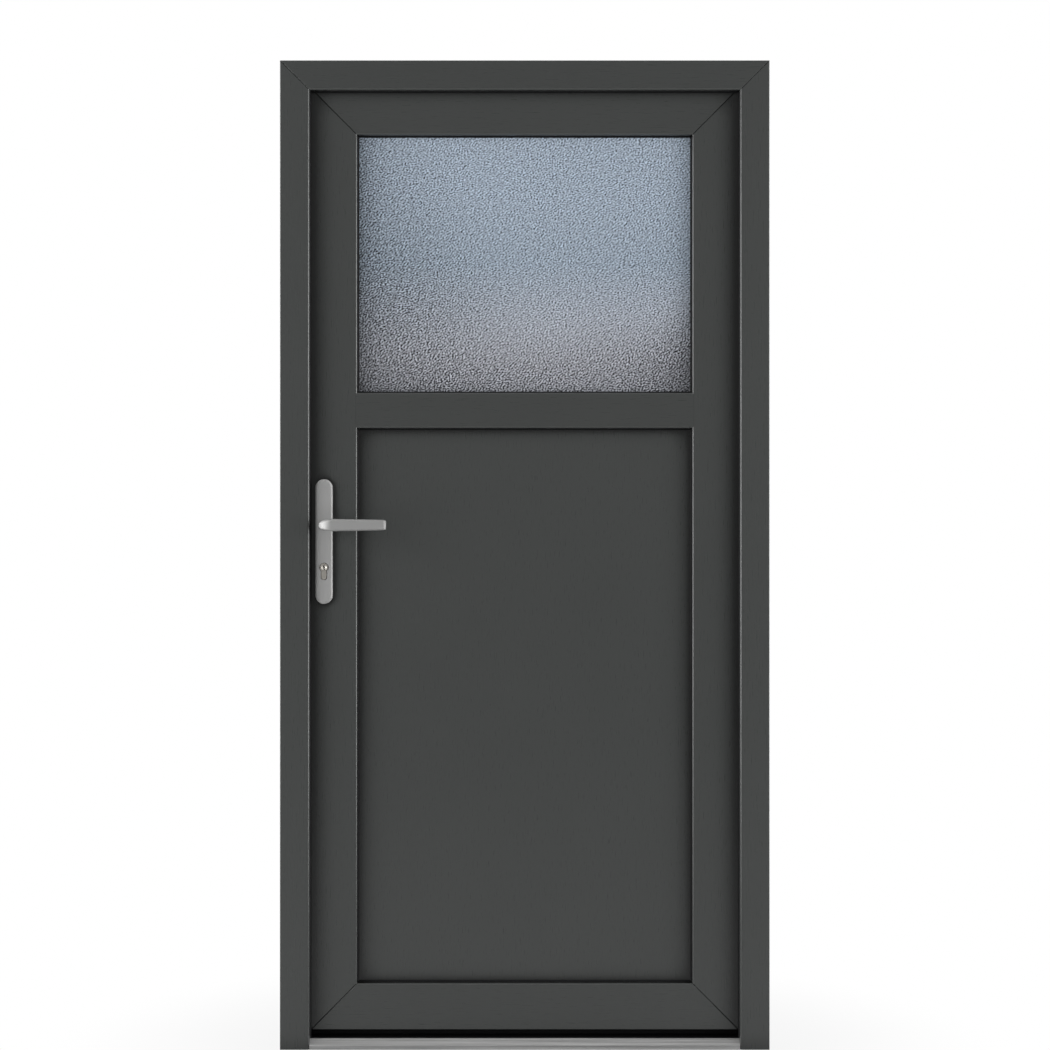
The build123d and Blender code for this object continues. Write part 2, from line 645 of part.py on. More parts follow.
neck_round = NECK_SIZE / 2 - 0.1
neck = [
    lever_section(lever_x, depth, (0, -1), NECK_SIZE, NECK_SIZE, neck_round)
    for depth in (collar_front, bend_start)
]
lever += loft(neck, ruled=True)
bend = [neck[1]]
for index in range(1, BEND_STEPS + 1):
    share = index / BEND_STEPS
    turn = Vector(0, -1, 0).rotate(Axis.Z, 90 * share)
    bend_x = lever_x + LEVER_BEND * (1 + turn.Y)
    bend_depth = bend_start - LEVER_BEND * turn.X
    bend.append(
        lever_section(
            bend_x, bend_depth, (turn.X, turn.Y),
            NECK_SIZE + (GRIP_THICKNESS - NECK_SIZE) * share,
            NECK_SIZE + (GRIP_ROOT_HEIGHT - NECK_SIZE) * share,
            neck_round + (GRIP_ROUND - neck_round) * share,
        )
    )
lever += loft(bend)
tip_x = lever_x + LEVER_LENGTH
grip_tip = lever_section(tip_x - TIP_BEVEL, grip_depth, (1, 0), GRIP_THICKNESS, GRIP_TIP_HEIGHT, GRIP_ROUND)
tip_end = lever_section(tip_x, grip_depth, (1, 0), TIP_EDGE, GRIP_TIP_HEIGHT - 2 * TIP_DROP, TIP_EDGE * 0.4)
lever += loft([bend[-1], grip_tip], ruled=True)
lever += loft([grip_tip, tip_end], ruled=True)
spindle_end = leaf_front - SPINDLE_GRIP
socket = block(
    lever_x - SPINDLE_SIZE / 2, lever_x + SPINDLE_SIZE / 2, spindle_end, leaf_back,
    LEVER_HEIGHT - SPINDLE_SIZE / 2, LEVER_HEIGHT + SPINDLE_SIZE / 2,
)
lever -= socket
nodes["outer_lever"] = lever
nodes["inner_lever"] = mirrored_inside(lever)
nodes["spindle"] = block(
    lever_x - SPINDLE_SIZE / 2, lever_x + SPINDLE_SIZE / 2, spindle_end, leaf_back + SPINDLE_GRIP,
    LEVER_HEIGHT - SPINDLE_SIZE / 2, LEVER_HEIGHT + SPINDLE_SIZE / 2,
)

# Hinges: frame wing with two knuckles and the pin, leaf wing with the middle knuckle
hinge_half = LEAF_KNUCKLE / 2 + KNUCKLE_GAP + FRAME_KNUCKLE


def upright_cylinder(radius, z0, z1):
    base = Plane(origin=(hinge_x, y_at(hinge_depth), z0))
    return extrude(base * Circle(radius), amount=z1 - z0)


for place, z in hinge_heights.items():
    leaf_half = LEAF_KNUCKLE / 2
    wing = through_y(
        RectangleRounded(FRAME_WING_WIDTH, 2 * hinge_half, WING_CORNER), hinge_x, z,
        FRAME_DEPTH, FRAME_DEPTH + FRAME_WING_THICKNESS,
    )
    for low, high in ((-hinge_half, -leaf_half - KNUCKLE_GAP), (leaf_half + KNUCKLE_GAP, hinge_half)):
        wing += upright_cylinder(KNUCKLE_RADIUS, z + low, z + high)
        wing += block(
            hinge_x - FRAME_WING_NECK / 2, hinge_x + FRAME_WING_NECK / 2,
            FRAME_DEPTH + 1, hinge_depth, z + low, z + high,
        )
    wing += upright_cylinder(PIN_RADIUS, z - hinge_half, z + hinge_half)
    nodes[f"hinge_{place}_frame_wing"] = wing
    overlap_edge = leaf_half_width + OVERLAP_WIDTH
    wing_edge = overlap_edge - LEAF_WING_INSET
    wing = through_y(
        RectangleRounded(LEAF_WING_WIDTH, 2 * hinge_half, WING_CORNER), wing_edge - LEAF_WING_WIDTH / 2, z,
        leaf_back, leaf_back + LEAF_WING_THICKNESS,
    )
    wing += block(
        wing_edge - WING_CORNER, hinge_x, leaf_back, leaf_back + LEAF_WING_THICKNESS,
        z - leaf_half, z + leaf_half,
    )
    wing += upright_cylinder(KNUCKLE_RADIUS, z - leaf_half, z + leaf_half)
    wing -= upright_cylinder(PIN_RADIUS + PIN_CLEARANCE, z - hinge_half, z + hinge_half)
    nodes[f"hinge_{place}_leaf_wing"] = wing

os.makedirs("parts", exist_ok=True)
for name, shape in nodes.items():
    solids = []
    for item in shape if isinstance(shape, list) else [shape]:
        solids.extend(item.solids())
    whole = solids[0] if len(solids) == 1 else Compound(children=solids)
    whole.label = name
    export_step(whole, f"parts/{name}.step")
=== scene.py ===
import math

import bmesh
import bpy
import numpy as np
from mathutils import Matrix, Vector


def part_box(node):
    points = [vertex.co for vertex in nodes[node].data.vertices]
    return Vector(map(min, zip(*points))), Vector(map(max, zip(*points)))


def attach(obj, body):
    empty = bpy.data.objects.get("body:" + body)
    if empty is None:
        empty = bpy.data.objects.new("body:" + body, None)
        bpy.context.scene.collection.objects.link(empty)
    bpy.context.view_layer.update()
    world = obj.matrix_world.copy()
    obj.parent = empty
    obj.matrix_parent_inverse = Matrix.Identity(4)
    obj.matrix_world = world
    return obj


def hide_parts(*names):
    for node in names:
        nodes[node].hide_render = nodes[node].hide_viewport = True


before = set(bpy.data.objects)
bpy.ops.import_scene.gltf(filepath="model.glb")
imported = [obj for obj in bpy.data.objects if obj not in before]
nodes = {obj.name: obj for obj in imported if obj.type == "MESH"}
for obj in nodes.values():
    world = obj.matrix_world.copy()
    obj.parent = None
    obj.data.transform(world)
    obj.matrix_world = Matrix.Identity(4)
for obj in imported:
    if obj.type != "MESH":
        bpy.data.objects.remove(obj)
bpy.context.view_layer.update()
scene = bpy.context.scene
SEED = 4313

# Places of the hinges, in metres, as in the part's source
HINGE_X = 0.473
HINGE_Y = 0.053
HINGE_ZS = {"top": 1.740, "middle": 0.990, "bottom": 0.240}


# Node helpers
def new_material(name):
    mat = bpy.data.materials.new(name)
    mat.use_nodes = True
    tree = mat.node_tree
    tree.nodes.clear()
    out = tree.nodes.new("ShaderNodeOutputMaterial")
    shader = tree.nodes.new("ShaderNodeBsdfPrincipled")
    tree.links.new(shader.outputs[0], out.inputs[0])
    return mat, tree, shader


def coords(tree, stretch=(1, 1, 1)):
    tex = tree.nodes.new("ShaderNodeTexCoord")
    mapping = tree.nodes.new("ShaderNodeMapping")
    mapping.inputs["Scale"].default_value = stretch
    tree.links.new(tex.outputs["Object"], mapping.inputs["Vector"])
    return mapping.outputs["Vector"]


def noise(tree, vector, scale, detail=2.0, rough=0.5):
    node = tree.nodes.new("ShaderNodeTexNoise")
    node.inputs["Scale"].default_value = scale
    node.inputs["Detail"].default_value = detail
    node.inputs["Roughness"].default_value = rough
    tree.links.new(vector, node.inputs["Vector"])
    return node.outputs["Fac"]


def spread(tree, value, low, high, start=0.3, end=0.7):
    """A value that goes smoothly from low to high while the given one goes from start to end."""
    node = tree.nodes.new("ShaderNodeMapRange")
    node.interpolation_type = "SMOOTHSTEP"
    node.inputs["From Min"].default_value = start
    node.inputs["From Max"].default_value = end
    node.inputs["To Min"].default_value = low
    node.inputs["To Max"].default_value = high
    tree.links.new(value, node.inputs["Value"])
    return node.outputs["Result"]


def ramp(tree, value, stops):
    node = tree.nodes.new("ShaderNodeValToRGB")
    elements = node.color_ramp.elements
    while len(elements) < len(stops):
        elements.new(0.5)
    for element, (place, colour) in zip(elements, stops):
        element.position = place
        element.color = (*colour, 1.0)
    tree.links.new(value, node.inputs["Fac"])
    return node.outputs["Color"]


def tint(colour, gain):
    return tuple(channel * gain for channel in colour)


def varied(tree, value, colour, darker, lighter):
    """A colour that wavers with a value between two gains."""
    return ramp(tree, value, [(0.3, tint(colour, darker)), (0.7, tint(colour, lighter))])


def calc(tree, operation, *values):
    """A math node on sockets and numbers."""
    node = tree.nodes.new("ShaderNodeMath")
    node.operation = operation
    for socket, value in zip(node.inputs, values):
        if isinstance(value, float):
            socket.default_value = value
        else:
            tree.links.new(value, socket)
    return node.outputs[0]


def dimmed(tree, colour, share):
    """A colour scaled by a share that varies over the surface."""
    node = tree.nodes.new("ShaderNodeVectorMath")
    node.operation = "SCALE"
    tree.links.new(colour, node.inputs["Vector"])
    tree.links.new(share, node.inputs["Scale"])
    return node.outputs["Vector"]


def painted_corner_shade(tree, distance, low, start, end):
    """Painted shade: a share of the colour that is low in corners that light hardly reaches, 1 on free
    faces.
    """
    node = tree.nodes.new("ShaderNodeAmbientOcclusion")
    node.samples = 12
    node.inputs["Distance"].default_value = distance
    return spread(tree, node.outputs["AO"], low, 1.0, start, end)


def bump(tree, shader, height, strength, distance):
    node = tree.nodes.new("ShaderNodeBump")
    node.inputs["Strength"].default_value = strength
    node.inputs["Distance"].default_value = distance
    tree.links.new(height, node.inputs["Height"])
    tree.links.new(node.outputs["Normal"], shader.inputs["Normal"])


# Materials; a stretch is small along the lines of a grain
ANTHRACITE = (0.0488, 0.0518, 0.0503)
BLACK = (0.006, 0.006, 0.0065)
SATIN = (0.54, 0.54, 0.536)
SILL = (0.53, 0.53, 0.527)
NICKEL = (0.66, 0.63, 0.575)
ZINC = (0.50, 0.50, 0.49)
SPACER = (0.36, 0.36, 0.37)
GLASS_IOR = 1.5


def foil(name, stretch, colour=ANTHRACITE, shade=0.22, start=0.48, end=0.93):
    """Satin anthracite foil with a very fine grain along the profile.

    Corners carry painted shade: shade is how dark they get, and start and end are how wide the dark is.
    """
    mat, tree, shader = new_material(name)
    broad = noise(tree, coords(tree), scale=5.0, detail=3.0)
    hue = varied(tree, broad, colour, darker=0.98, lighter=1.02)
    # Painted shade: the colour darkens in corners and beside raised parts
    painted_shade_share = painted_corner_shade(tree, distance=0.05, low=shade, start=start, end=end)
    tree.links.new(dimmed(tree, hue, painted_shade_share), shader.inputs["Base Color"])
    grain = noise(tree, coords(tree, stretch), scale=900.0, detail=4.0, rough=0.6)
    tree.links.new(spread(tree, grain, low=0.272, high=0.298), shader.inputs["Roughness"])
    shader.inputs["Specular IOR Level"].default_value = 0.65
    bump(tree, shader, grain, strength=0.02, distance=0.0002)
    return mat


def rubber(name, colour):
    """Matt black rubber with a fine grain."""
    mat, tree, shader = new_material(name)
    fine = noise(tree, coords(tree), scale=700.0, detail=3.0)
    hue = varied(tree, fine, colour, darker=0.8, lighter=1.25)
    tree.links.new(hue, shader.inputs["Base Color"])
    tree.links.new(spread(tree, fine, low=0.55, high=0.7), shader.inputs["Roughness"])
    shader.inputs["Specular IOR Level"].default_value = 0.12
    bump(tree, shader, fine, strength=0.2, distance=0.0003)
    return mat


def metal(name, colour, stretch, scale, rough, relief, contrast=0.05, shade=0.55):
    """Satin metal with fine lines; painted shade dims its corners."""
    mat, tree, shader = new_material(name)
    lines = noise(tree, coords(tree, stretch), scale, detail=4.0, rough=0.6)
    hue = varied(tree, lines, colour, 1.0 - contrast, 1.0 + contrast)
    # Painted shade: the colour darkens in corners and under parts close by
    painted_shade_share = painted_corner_shade(tree, distance=0.035, low=shade, start=0.35, end=0.85)
    tree.links.new(dimmed(tree, hue, painted_shade_share), shader.inputs["Base Color"])
    tree.links.new(spread(tree, lines, rough - 0.04, rough + 0.05), shader.inputs["Roughness"])
    shader.inputs["Metallic"].default_value = 1.0
    bump(tree, shader, lines, strength=relief, distance=0.0002)
    return mat


# Painted light in the patterned glass's colour: painted shade darker at the left, at the right and at
# the foot, and a painted reflection bluish at the head
LEFT_SHADE = 0.40
LEFT_OUTSIDE = 0.12
LEFT_REACH = 0.62
LEFT_SLANT = 0.46
RIGHT_SHADE = 0.51
RIGHT_REACH = 0.21
RIGHT_SLANT = 0.7
FOOT_SHADE = 0.65
FOOT_REACH = 0.16
FOOT_SLANT = 0.15
GLASS_FOOT = (0.535, 0.55, 0.605)
GLASS_MIDDLE = (0.435, 0.51, 0.60)
GLASS_HEAD = (0.48, 0.56, 0.66)
# Contrast of the wrinkles' painted light and shade where the painted light is dim and where it is
# bright, and their darkest share
LIVELY_DARK = 4.9
LIVELY_LIGHT = 2.25
DARKEST_GRAIN = 0.15
# The flat inner face, where the pattern is seen through the pane
FACE_MARGIN = 0.001
SEEN_THROUGH = 0.28


def painted_pane_light(tree, across, up, low, high):
    """Painted light of the pane at a spot: painted shade darker at the left, at the right and at the
    foot.
    """
    left_start = low.x - LEFT_OUTSIDE + LEFT_SLANT * low.z
    left_slope = calc(tree, "MULTIPLY_ADD", up, LEFT_SLANT, across)
    left = spread(tree, left_slope, LEFT_SHADE, 1.0, left_start, left_start + LEFT_REACH)
    right_end = high.x - RIGHT_SLANT * low.z
    right_slope = calc(tree, "MULTIPLY_ADD", up, -RIGHT_SLANT, across)
    right = spread(tree, right_slope, 1.0, RIGHT_SHADE, right_end - RIGHT_REACH, right_end)
    foot_slope = calc(tree, "MULTIPLY_ADD", across, -FOOT_SLANT, up)
    foot = spread(tree, foot_slope, FOOT_SHADE, 1.0, low.z, low.z + FOOT_REACH)
    return calc(tree, "MULTIPLY", calc(tree, "MULTIPLY", left, right), foot)


def patterned_glass(name, low, high):
    """Structured obscure glass: the relief in the mesh breaks up a colour of painted light, with painted
    shade at the edges and foot and a painted reflection bluish at the head.
    """
    mat, tree, shader = new_material(name)
    place = tree.nodes.new("ShaderNodeTexCoord")
    split = tree.nodes.new("ShaderNodeSeparateXYZ")
    tree.links.new(place.outputs["Object"], split.inputs[0])
    across, deep, up = split.outputs["X"], split.outputs["Y"], split.outputs["Z"]
    # Painted shade: the colour is darker towards the left, the right and the foot
    painted_light = painted_pane_light(tree, across, up, low, high)
    height = spread(tree, up, 0.0, 1.0, low.z, high.z)
    # Painted reflection: the colour goes from greyer at the foot to bluish at the head
    hue = ramp(tree, height, [(0.05, GLASS_FOOT), (0.5, GLASS_MIDDLE), (0.85, GLASS_HEAD)])
    relief = tree.nodes.new("ShaderNodeAttribute")
    relief.attribute_name = "relief"
    flat_face = spread(tree, deep, 0.0, 1.0, high.y - FACE_MARGIN, high.y)
    behind = noise(tree, coords(tree, (0.75, 1.0, 1.0)), scale=270.0, detail=1.5)
    seen_through = spread(tree, behind, -SEEN_THROUGH, SEEN_THROUGH)
    # The wrinkles lighten and darken the colour: painted light and shade of the relief, strongest where
    # the painted light is dim
    lively = spread(tree, painted_light, LIVELY_DARK, LIVELY_LIGHT, 0.5, 1.0)
    pattern = calc(tree, "MULTIPLY_ADD", flat_face, seen_through, relief.outputs["Fac"])
    grain = calc(tree, "MULTIPLY_ADD", pattern, lively, 1.0)
    share = calc(tree, "MULTIPLY", painted_light, calc(tree, "MAXIMUM", grain, DARKEST_GRAIN))
    tree.links.new(dimmed(tree, hue, share), shader.inputs["Base Color"])
    shader.inputs["Roughness"].default_value = 0.16
    shader.inputs["IOR"].default_value = GLASS_IOR
    shader.inputs["Transmission Weight"].default_value = 0.4
    fine = noise(tree, coords(tree), scale=650.0, detail=2.0)
    bump(tree, shader, fine, strength=0.15, distance=0.0004)
    return mat


def clear_glass(name):
    """Clear glass, a little soft so that it doesn't mirror the lamps' outlines."""
    mat, tree, shader = new_material(name)
    drift = noise(tree, coords(tree), scale=3.0, detail=1.0)
    hue = ramp(tree, drift, [(0.3, (0.90, 0.945, 0.94)), (0.7, (0.92, 0.96, 0.955))])
    tree.links.new(hue, shader.inputs["Base Color"])
    shader.inputs["Roughness"].default_value = 0.14
    shader.inputs["Specular IOR Level"].default_value = 0.3
    shader.inputs["IOR"].default_value = GLASS_IOR
    shader.inputs["Transmission Weight"].default_value = 1.0
    return mat


UPRIGHT_GRAIN = (1.0, 1.0, 0.03)
LEVEL_GRAIN = (0.03, 1.0, 1.0)
UPRIGHT_LINES = (1.0, 1.0, 0.02)
LEVEL_LINES = (0.02, 1.0, 1.0)
# The foils darken their corners with painted shade; the stiles' wide painted shade stands in for the
# shadow that the jambs cast on them
foil_upright = foil("foil_upright", UPRIGHT_GRAIN)
foil_jamb = foil("foil_jamb", UPRIGHT_GRAIN, shade=0.6)
foil_stile = foil("foil_stile", UPRIGHT_GRAIN, start=0.73, end=0.97)
# The level pieces' foil is a slightly darker copy of the same foil: painted shade, as light from the
# sides leaves them darker
foil_level = foil("foil_level", LEVEL_GRAIN, tint(ANTHRACITE, 0.965))
foil_panel = foil("foil_panel", (1.0, 1.0, 0.05), start=0.6)
hinge_coat = foil("hinge_coat", (0.6, 0.6, 0.6))
seal_black = rubber("seal_black", BLACK)
insert_black = rubber("insert_black", BLACK)
satin_upright = metal(
    "satin_upright", SATIN, UPRIGHT_LINES, scale=1500.0, rough=0.60, relief=0.05, shade=0.95
)
satin_level = metal(
    "satin_level", tint(SATIN, 0.80), LEVEL_LINES, scale=1500.0, rough=0.72, relief=0.05
)
sill_metal = metal(
    "sill_metal", SILL, (0.012, 1.0, 1.0), scale=300.0, rough=0.50, relief=0.03, contrast=0.22, shade=1.0
)
nickel = metal("nickel", NICKEL, (1.0, 1.0, 1.0), scale=1800.0, rough=0.45, relief=0.04)
zinc = metal("zinc", ZINC, UPRIGHT_GRAIN, scale=1200.0, rough=0.33, relief=0.06)
spacer_grey = metal("spacer_grey", SPACER, (0.05, 1.0, 1.0), scale=900.0, rough=0.45, relief=0.05)
glass_pattern = patterned_glass("glass_pattern", *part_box("glass_outer_pane"))
glass_clear = clear_glass("glass_clear")

FIELDS = ("glass", "panel")
upright_beads = [f"{field}_bead_{side}" for field in FIELDS for side in ("left", "right")]
level_beads = [f"{field}_bead_{side}" for field in FIELDS for side in ("top", "bottom")]
gaskets = [f"{field}_{side}_gasket" for field in FIELDS for side in ("outer", "inner")]
FINISH = {
    foil_upright: upright_beads,
    foil_jamb: ["frame_left_jamb", "frame_right_jamb"],
    foil_stile: ["lock_stile", "hinge_stile"],
    foil_level: ["frame_head", "top_rail", "bottom_rail", "mid_rail"] + level_beads,
    foil_panel: ["infill_panel"],
    seal_black: ["frame_seal", "overlap_seal", "bottom_seal"] + gaskets,
    insert_black: ["threshold_insert"],
    sill_metal: ["threshold"],
    satin_upright: ["outer_handle_plate", "inner_handle_plate"],
    satin_level: ["outer_lever", "inner_lever"],
    nickel: ["lock_cylinder", "key_plug", "inner_plug"],
    zinc: ["lock_faceplate", "latch_bolt", "dead_bolt", "strike_plate", "spindle"],
    spacer_grey: ["glass_spacer"],
    glass_pattern: ["glass_outer_pane"],
    glass_clear: ["glass_inner_pane"],
    hinge_coat: [f"hinge_{place}_{wing}_wing" for place in HINGE_ZS for wing in ("frame", "leaf")],
}
for mat, names in FINISH.items():
    for name in names:
        mesh = nodes[name].data
        mesh.materials.clear()
        mesh.materials.append(mat)


# Pieces
def add_piece(name, mesh, mat, body, smooth=False):
    piece = bpy.data.objects.new(name, mesh)
    scene.collection.objects.link(piece)
    mesh.materials.clear()
    mesh.materials.append(mat)
    if smooth:
        mesh.shade_smooth()
    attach(piece, body)
    return piece


PANE_PITCH = 0.0020
RELIEF_DEPTH = 0.0007
RELIEF_MARGIN = 0.012
WRINKLE_X = 0.0053
WRINKLE_Z = 0.0041
# How much of the relief is finer or coarser than the wrinkles, and the coarsest pace kept
WRINKLE_BAND = 0.45
COARSE_SHARE = 0.3
COARSEST_PACE = 0.12


def wrinkles(rows, columns):
    """A random relief from -0.5 to 0.5 whose finest bumps are about one wrinkle apart."""
    rng = np.random.default_rng(SEED)
    grain = np.fft.fft2(rng.standard_normal((rows, columns)))
    fz = np.fft.fftfreq(rows, PANE_PITCH)[:, None]
    fx = np.fft.fftfreq(columns, PANE_PITCH)[None, :]
    pace = np.hypot(fx * WRINKLE_X, fz * WRINKLE_Z)
    share = np.exp(-(((pace - 1.0) / WRINKLE_BAND) ** 2))
    share = share + COARSE_SHARE * (pace > COARSEST_PACE) * (pace < 1.0)
    field = np.fft.ifft2(grain * share).real
    field /= 4.0 * field.std()
    return np.clip(field, -0.5, 0.5)


def pane_faces(rows, columns):
    """The quads of the wrinkled face, and the sides and flat back that close it to a solid."""
    wide = columns + 1
    quads = []
    for row in range(rows):
        for column in range(columns):
            corner = row * wide + column
            quads.append((corner, corner + 1, corner + wide + 1, corner + wide))
    edges = [
        list(range(0, wide)),
        [row * wide + columns for row in range(rows + 1)],
        list(range(rows * wide + columns, rows * wide - 1, -1)),
        [row * wide for row in range(rows, -1, -1)],
    ]
    count = (rows + 1) * wide
    sides = []
    for index, edge in enumerate(edges):
        after = (index + 1) % 4
        sides.append(tuple(reversed(edge)) + (count + index, count + after))
    sides.append((count + 3, count + 2, count + 1, count))
    return quads, sides


def structured_pane():
    """The outer pane with its wrinkled face as real relief inside the pane's thickness."""
    low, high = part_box("glass_outer_pane")
    columns = int((high.x - low.x) / PANE_PITCH)
    rows = int((high.z - low.z) / PANE_PITCH)
    relief = wrinkles(rows + 1, columns + 1)
    xs = np.linspace(low.x, high.x, columns + 1)
    zs = np.linspace(low.z, high.z, rows + 1)
    fade_x = np.clip(np.minimum(xs - low.x, high.x - xs) / RELIEF_MARGIN, 0, 1)
    fade_z = np.clip(np.minimum(zs - low.z, high.z - zs) / RELIEF_MARGIN, 0, 1)
    fade = np.minimum(fade_z[:, None], fade_x[None, :])
    grid_x, grid_z = np.meshgrid(xs, zs)
    grid_y = low.y + RELIEF_DEPTH * (0.5 - relief) * fade
    front = np.stack([grid_x, grid_y, grid_z], axis=-1).reshape(-1, 3)
    corners = ((low.x, low.z), (high.x, low.z), (high.x, high.z), (low.x, high.z))
    back = [(x, high.y, z) for x, z in corners]
    quads, sides = pane_faces(rows, columns)
    mesh = bpy.data.meshes.new("glass_patterned_pane")
    mesh.from_pydata([tuple(point) for point in front] + back, [], quads + sides)
    mesh.update()
    layer = mesh.attributes.new("relief", "FLOAT", "POINT")
    heights = np.concatenate([relief.reshape(-1), np.zeros(len(back))])
    layer.data.foreach_set("value", heights.astype(np.float32))
    piece = add_piece("glass_patterned_pane", mesh, glass_pattern, "leaf")
    smooth = np.zeros(len(mesh.polygons), dtype=bool)
    smooth[: len(quads)] = True
    mesh.polygons.foreach_set("use_smooth", smooth)
    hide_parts("glass_outer_pane")


def lathe(bm, profile, steps=32):
    """Open rings about Z through (radius, height) points, joined to a wall."""
    rings = []
    for radius, height in profile:
        ring = []
        for step in range(steps):
            angle = 2 * math.pi * step / steps
            ring.append(bm.verts.new((radius * math.cos(angle), radius * math.sin(angle), height)))
        rings.append(ring)
    for below, above in zip(rings, rings[1:]):
        for step in range(steps):
            after = (step + 1) % steps
            bm.faces.new((below[step], below[after], above[after], above[step]))
    return rings


def add_turned(name, bm, centre, normal, mat, body, smooth=False):
    """Turn a shape made about +Z to a normal, put it at a centre and add it as a piece."""
    mesh = bpy.data.meshes.new(name)
    bm.to_mesh(mesh)
    bm.free()
    turn = Vector((0, 0, 1)).rotation_difference(Vector(normal)).to_matrix().to_4x4()
    mesh.transform(Matrix.Translation(Vector(centre)) @ turn)
    add_piece(name, mesh, mat, body, smooth)


# A screw head: shares of its radius with heights, and its cross recess
SCREW_PROFILE = ((1.0, -0.0002), (1.0, 0.0002), (0.86, 0.0007), (0.62, 0.0009))
RECESS_RIM = 0.0009
RECESS_FLOOR = -0.0004
RECESS_ARM = 0.5
RECESS_HALF = 0.13
RECESS_TAPER = 0.7


def screw(name, centre, normal, radius, body):
    """A raised countersunk screw head with a cross recess."""
    bm = bmesh.new()
    rings = lathe(bm, [(radius * share, height) for share, height in SCREW_PROFILE])
    arm = radius * RECESS_ARM
    half = radius * RECESS_HALF
    cross = []
    for turn in range(4):
        angle = math.pi / 2 * turn
        for x, y in ((arm, -half), (arm, half), (half, half)):
            turned_x = x * math.cos(angle) - y * math.sin(angle)
            turned_y = x * math.sin(angle) + y * math.cos(angle)
            cross.append((turned_x, turned_y))
    rim = [bm.verts.new((x, y, RECESS_RIM)) for x, y in cross]
    floor = [bm.verts.new((x * RECESS_TAPER, y * RECESS_TAPER, RECESS_FLOOR)) for x, y in cross]
    loop_edges = []
    for ring in (rings[-1], rim):
        for one, two in zip(ring, ring[1:] + ring[:1]):
            loop_edges.append(bm.edges.get((one, two)) or bm.edges.new((one, two)))
    bmesh.ops.bridge_loops(bm, edges=loop_edges)
    for index in range(len(rim)):
        after = (index + 1) % len(rim)
        bm.faces.new((rim[index], rim[after], floor[after], floor[index]))
    bm.faces.new(floor)
    bm.faces.new(list(reversed(rings[0])))
    bmesh.ops.recalc_face_normals(bm, faces=bm.faces)
    add_turned(name, bm, centre, normal, zinc, body)


CAP_RADIUS = 0.0094
CAP_ROOT = -0.0002
CAP_RIM = 0.0008
CAP_RISE = 0.0035
CAP_STEPS = 6


def pin_cap(name, centre, normal, body):
    """A low domed cap on the end of a hinge barrel."""
    bm = bmesh.new()
    profile = [(CAP_RADIUS, CAP_ROOT), (CAP_RADIUS, CAP_RIM)]
    for step in range(1, CAP_STEPS):
        angle = math.pi / 2 * step / CAP_STEPS
        profile.append((CAP_RADIUS * math.cos(angle), CAP_RIM + CAP_RISE * math.sin(angle)))
    rings = lathe(bm, profile)
    bm.faces.new(rings[-1])
    bm.faces.new(list(reversed(rings[0])))
    add_turned(name, bm, centre, normal, hinge_coat, body, smooth=True)


# Screws of the leaf wings, whose face lies a little under the top of their barrel
WING_UNDER_BARREL = 0.0010
WING_SCREW_XS = (0.446, 0.428)
WING_SCREW_DZS = (-0.038, 0.038)
WING_SCREW_RADIUS = 0.0042


def hinge_trim(place, z):
    """The screws of a hinge's leaf wing and the caps of its pin."""
    face_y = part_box(f"hinge_{place}_leaf_wing")[1].y - WING_UNDER_BARREL
    spots = [(x, dz) for x in WING_SCREW_XS for dz in WING_SCREW_DZS]
    for index, (x, dz) in enumerate(spots):
        centre = (x, face_y, z + dz)
        name = f"hinge_{place}_screw_{index}"
        screw(name, centre, (0, 1, 0), WING_SCREW_RADIUS, "leaf")
    low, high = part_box(f"hinge_{place}_frame_wing")
    pin_cap(f"hinge_{place}_cap_top", (HINGE_X, HINGE_Y, high.z), (0, 0, 1), "frame")
    pin_cap(f"hinge_{place}_cap_bottom", (HINGE_X, HINGE_Y, low.z), (0, 0, -1), "frame")


def end_screws(prefix, plate, normal, from_end, radius, body):
    """A screw near each end of an upright plate, in the middle of the face that the normal leaves."""
    low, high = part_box(plate)
    centre = (low + high) / 2
    for axis, way in enumerate(normal):
        if way:
            centre[axis] = high[axis] if way > 0 else low[axis]
    for index, z in enumerate((high.z - from_end, low.z + from_end)):
        spot = (centre.x, centre.y, z)
        screw(f"{prefix}_screw_{index}", spot, normal, radius, body)


structured_pane()
for place, z in HINGE_ZS.items():
    hinge_trim(place, z)
end_screws("handle", "inner_handle_plate", (0, 1, 0), from_end=0.016, radius=0.0045, body="leaf")
end_screws("faceplate", "lock_faceplate", (-1, 0, 0), from_end=0.014, radius=0.0040, body="leaf")
end_screws("strike", "strike_plate", (1, 0, 0), from_end=0.012, radius=0.0040, body="frame")


# Camera: level, in front of the door
CAMERA_PLACE = (0.0005, -4.685, 1.0502)
CAMERA_LENS = 79.68
SENSOR_WIDTH = 36.0
camera_data = bpy.data.cameras.new("camera")
camera_data.sensor_width = SENSOR_WIDTH
camera_data.lens = CAMERA_LENS
camera = bpy.data.objects.new("camera", camera_data)
camera.location = CAMERA_PLACE
camera.rotation_euler = (math.pi / 2, 0.0, 0.0)
scene.collection.objects.link(camera)
scene.camera = camera

# Floor, world and lamps
FLOOR_REACH = 400.0
FLOOR_GREY = 0.40
# Share of plain white in what the camera sees of the floor, near the door and away from it
WHITE_NEAR = 0.88
WHITE_FAR = 1.0
NEAR_REACH = 0.45
FAR_REACH = 1.0
FLOOR_GLOSS = 0.1
# Level of the world as light, and its dimmest share in gloss along the door's depth and overhead
WORLD_LIGHT = 0.07
STUDIO_DIM = 0.25
OVERHEAD_DIM = 0.6


def ray_share(tree, names):
    """1 for the named kinds of ray, 0 for the others."""
    path = tree.nodes.new("ShaderNodeLightPath")
    value = path.outputs[names[0]]
    for name in names[1:]:
        value = calc(tree, "MAXIMUM", value, path.outputs[name])
    return value


